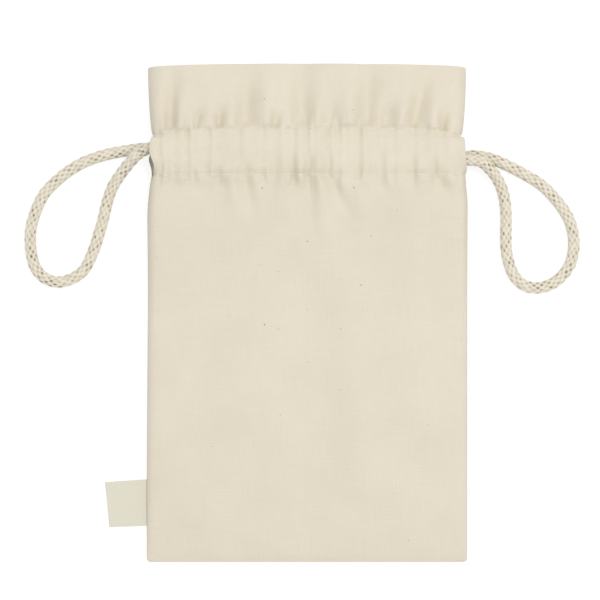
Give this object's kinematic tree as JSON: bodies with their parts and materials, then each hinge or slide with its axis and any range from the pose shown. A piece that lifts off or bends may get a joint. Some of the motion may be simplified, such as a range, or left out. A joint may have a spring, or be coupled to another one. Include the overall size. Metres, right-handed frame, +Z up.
{
  "type": "fabric gift sack",
  "caption": "Flat-lying cotton drawstring gift sack with a sewn cord channel, a loose double header, braided pull loops at both sides and a bare side label.",
  "frame": {"origin": "on the resting face of the back panel, at the middle of the bag's width and length", "axes": "+Z up off the surface the bag lies on, +Y towards the bag's mouth, +X to the right as seen from above"},
  "size_m": [0.278, 0.248, 0.0207],
  "materials": {
    "cotton": "plain-woven natural cotton with fine seed flecks",
    "cord": "round braided natural cotton cord",
    "thread": "sewing thread in the cloth's colour",
    "label_tape": "woven tape, slightly paler than the cloth"
  },
  "bodies": {
    "bag": {"front_panel": "cotton", "back_panel": "cotton", "left_side_seam": "cotton", "right_side_seam": "cotton", "bottom_seam": "cotton", "left_header_seam": "cotton", "right_header_seam": "cotton", "front_upper_stitching": "thread", "front_lower_stitching": "thread", "back_upper_stitching": "thread", "back_lower_stitching": "thread", "left_cord_turn": "cord", "right_cord_turn": "cord"},
    "left_cord": {"left_cord_loop": "cord", "left_cord_front_run": "cord", "left_cord_back_run": "cord"},
    "right_cord": {"right_cord_loop": "cord", "right_cord_front_run": "cord", "right_cord_back_run": "cord"},
    "label": {"label_tab": "label_tape"}
  },
  "joints": [
    {"name": "left_cord_pull", "type": "slide", "parent": "bag", "child": "left_cord", "axis": [-1, 0, 0], "range_m": [0, 0.115]},
    {"name": "right_cord_pull", "type": "slide", "parent": "bag", "child": "right_cord", "axis": [1, 0, 0], "range_m": [0, 0.115]},
    {"name": "label_flip", "type": "hinge", "parent": "bag", "child": "label", "pos_m": [-0.0805, -0.0943, 0.0011], "axis": [0, 1, 0], "range_deg": [0, 100]}
  ]
}
